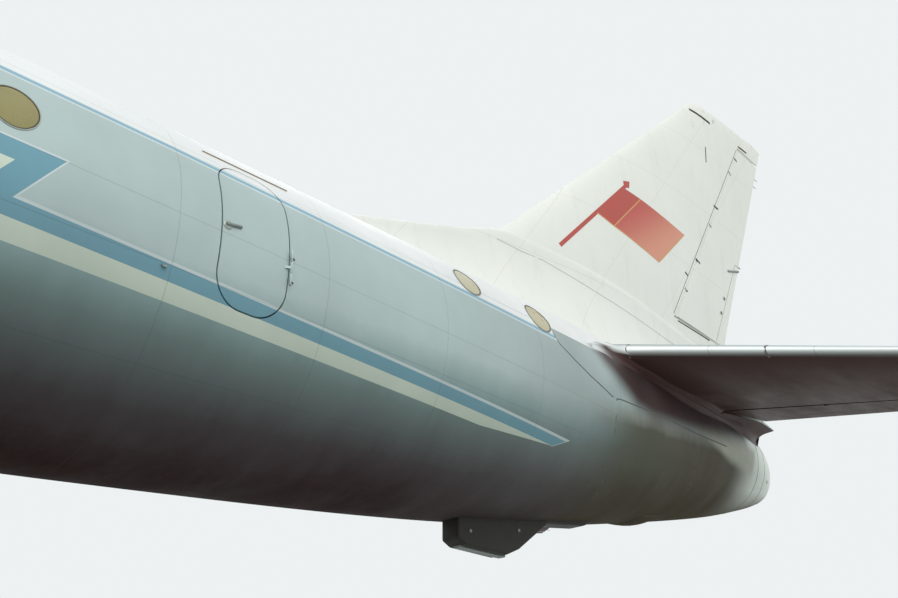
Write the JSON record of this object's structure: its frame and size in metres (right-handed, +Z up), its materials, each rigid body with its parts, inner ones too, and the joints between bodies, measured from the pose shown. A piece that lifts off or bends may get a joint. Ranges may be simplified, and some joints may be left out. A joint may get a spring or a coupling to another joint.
{
  "type": "narrow body airliner",
  "caption": "Swept-wing narrow body airliner with jet engines in its wing roots, glazed nose, fin and low tailplane, parked on its landing gear.",
  "frame": {"origin": "on the ground under the middle of the object's box, below the fuselage's centre line", "axes": "+X runs aft along the fuselage, from the nose to the tail; +Y points to starboard; +Z is up. The tyres stand on z = 0."},
  "size_m": [38.85, 34.54, 11.93],
  "materials": {
    "skin": "clear-coated sheet with a dull sheen",
    "white_paint": "aged semi-gloss enamel",
    "dark_paint": "matt",
    "glazing": "clear with a faint tint",
    "gear_steel": "painted and oiled",
    "engine_metal": "heat-stained",
    "tyre_rubber": "matt, weathered"
  },
  "bodies": {
    "airframe": {"nose_glazing": "glazing", "fuselage_forward": "skin", "flight_deck_glazing": "glazing", "chin_radome": "dark_paint", "fuselage_centre": "skin", "fuselage_rear": "skin", "tail_cone": "skin", "tail_bumper": "dark_paint", "fin_base": "white_paint", "wing_left": "skin", "wing_right": "skin", "engine_nacelle_left": "skin", "engine_nacelle_right": "skin", "engine_left": "engine_metal", "engine_right": "engine_metal", "gear_pod_left": "skin", "gear_pod_right": "skin", "fin": "white_paint", "tailplane_left": "skin", "tailplane_right": "skin", "main_leg_left": "gear_steel", "main_leg_right": "gear_steel", "nose_leg": "gear_steel", "nose_gear_door_left": "skin", "nose_gear_door_right": "skin"},
    "forward_door": {"forward_door": "skin"},
    "aft_door": {"aft_door": "skin"},
    "rudder": {"rudder": "white_paint"},
    "elevator_left": {"elevator_left": "skin"},
    "elevator_right": {"elevator_right": "skin"},
    "aileron_left": {"aileron_left": "skin"},
    "aileron_right": {"aileron_right": "skin"},
    "main_front_wheels_left": {"main_front_wheels_left": "tyre_rubber"},
    "main_front_wheels_right": {"main_front_wheels_right": "tyre_rubber"},
    "main_rear_wheels_left": {"main_rear_wheels_left": "tyre_rubber"},
    "main_rear_wheels_right": {"main_rear_wheels_right": "tyre_rubber"},
    "nose_fork": {"nose_fork": "gear_steel"},
    "nose_wheels": {"nose_wheels": "tyre_rubber"}
  },
  "joints": [
    {"name": "forward_door_hinge", "type": "hinge", "parent": "airframe", "child": "forward_door", "pos_m": [-11.693, -1.776, 4.03], "axis": [0, 0, 1], "range_deg": [0, 95]},
    {"name": "aft_door_hinge", "type": "hinge", "parent": "airframe", "child": "aft_door", "pos_m": [7.207, -1.59993, 4.18], "axis": [0, 0, 1], "range_deg": [0, 95]},
    {"name": "rudder_hinge", "type": "hinge", "parent": "airframe", "child": "rudder", "pos_m": [15.425, 0, 6.96], "axis": [0.5517, 0, 0.8341], "range_deg": [-25, 25]},
    {"name": "elevator_left_hinge", "type": "hinge", "parent": "airframe", "child": "elevator_left", "pos_m": [15.0038, -0.835, 5.24], "axis": [0.5904, -0.8071, 0], "range_deg": [-15, 25]},
    {"name": "elevator_right_hinge", "type": "hinge", "parent": "airframe", "child": "elevator_right", "pos_m": [15.0038, 0.835, 5.24], "axis": [-0.5904, -0.8071, 0], "range_deg": [-15, 25]},
    {"name": "aileron_left_hinge", "type": "hinge", "parent": "airframe", "child": "aileron_left", "pos_m": [3.9266, -11.48, 2.8278], "axis": [0.5026, -0.8643, -0.0196], "range_deg": [-20, 20]},
    {"name": "aileron_right_hinge", "type": "hinge", "parent": "airframe", "child": "aileron_right", "pos_m": [3.9266, 11.48, 2.8278], "axis": [-0.5026, -0.8643, 0.0196], "range_deg": [-20, 20]},
    {"name": "main_front_axle_left", "type": "hinge", "parent": "airframe", "child": "main_front_wheels_left", "pos_m": [-0.445, -5.65, 0.55], "axis": [0, 1, 0], "continuous": true},
    {"name": "main_front_axle_right", "type": "hinge", "parent": "airframe", "child": "main_front_wheels_right", "pos_m": [-0.445, 5.65, 0.55], "axis": [0, 1, 0], "continuous": true},
    {"name": "main_rear_axle_left", "type": "hinge", "parent": "airframe", "child": "main_rear_wheels_left", "pos_m": [0.795, -5.65, 0.55], "axis": [0, 1, 0], "continuous": true},
    {"name": "main_rear_axle_right", "type": "hinge", "parent": "airframe", "child": "main_rear_wheels_right", "pos_m": [0.795, 5.65, 0.55], "axis": [0, 1, 0], "continuous": true},
    {"name": "nose_steering", "type": "hinge", "parent": "airframe", "child": "nose_fork", "pos_m": [-14.135, 0, 1.5], "axis": [0, 0, 1], "range_deg": [-45, 45]},
    {"name": "nose_axle", "type": "hinge", "parent": "nose_fork", "child": "nose_wheels", "pos_m": [-14.075, 0, 0.45], "axis": [0, 1, 0], "continuous": true}
  ],
  "couplings": [
    {"joint": "elevator_right_hinge", "follows": "elevator_left_hinge", "ratio": 1},
    {"joint": "aileron_right_hinge", "follows": "aileron_left_hinge", "ratio": -1}
  ]
}
